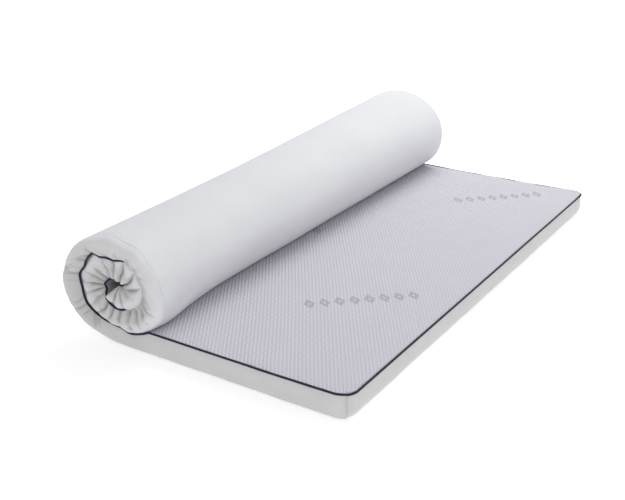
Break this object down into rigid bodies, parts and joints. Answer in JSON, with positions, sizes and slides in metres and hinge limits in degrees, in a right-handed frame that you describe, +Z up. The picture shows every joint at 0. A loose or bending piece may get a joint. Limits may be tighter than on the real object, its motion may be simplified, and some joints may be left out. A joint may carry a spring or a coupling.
{
  "type": "rolled mattress topper",
  "caption": "Thick foam mattress overlay in a zipped knit cover with corded edges, half rolled up with its free end lying flat; the free end folds up.",
  "frame": {"origin": "on the floor under the middle of the whole outline", "axes": "+X along the mattress from the roll to the free foot end, +Y across it towards the zipped side, +Z up"},
  "size_m": [0.845, 1.4994, 0.3121],
  "materials": {
    "top_knit": "matte",
    "white_knit": "matte",
    "border_knit": "matte",
    "piping": "satin",
    "memory_foam": "matte",
    "base_foam": "matte",
    "liner": "matte",
    "zip_tape": "matte",
    "zip_coil": "satin",
    "zip_metal": "satin",
    "label": "satin"
  },
  "bodies": {
    "main_section": {"support_foam": "base_foam", "memory_foam": "memory_foam", "inner_liner": "liner", "top_panel": "top_knit", "bottom_panel": "white_knit", "near_border": "border_knit", "far_border_upper": "border_knit", "far_border_lower": "border_knit", "near_piping": "piping", "far_piping": "piping", "zip_tape_upper": "zip_tape", "zip_tape_lower": "zip_tape", "zip_coil_upper": "zip_coil", "zip_coil_lower": "zip_coil", "bottom_panel_roll": "white_knit", "head_border": "border_knit", "head_piping": "piping", "zip_stop_head": "zip_metal", "care_label": "label"},
    "foot_section": {"support_foam_foot": "base_foam", "memory_foam_foot": "memory_foam", "inner_liner_foot": "liner", "top_panel_foot": "top_knit", "bottom_panel_foot": "white_knit", "near_border_foot": "border_knit", "far_border_upper_foot": "border_knit", "far_border_lower_foot": "border_knit", "near_piping_foot": "piping", "far_piping_foot": "piping", "zip_tape_upper_foot": "zip_tape", "zip_tape_lower_foot": "zip_tape", "zip_coil_upper_foot": "zip_coil", "zip_coil_lower_foot": "zip_coil", "foot_border": "border_knit", "foot_piping": "piping", "zip_stop_foot": "zip_metal"},
    "zip_slider": {"zip_slider": "zip_metal"},
    "zip_pull": {"zip_pull": "zip_metal"}
  },
  "joints": [
    {"name": "foot_fold", "type": "hinge", "parent": "main_section", "child": "foot_section", "pos_m": [0.12648, 0, 0.0613], "axis": [0, -1, 0], "range_deg": [0, 70]},
    {"name": "slider_travel", "type": "slide", "parent": "foot_section", "child": "zip_slider", "axis": [-1, 0, 0], "range_m": [0, 0.14]},
    {"name": "pull_swing", "type": "hinge", "parent": "zip_slider", "child": "zip_pull", "pos_m": [0.38178, 0.748, 0.0305], "axis": [0, 0, -1], "range_deg": [0, 170]}
  ]
}
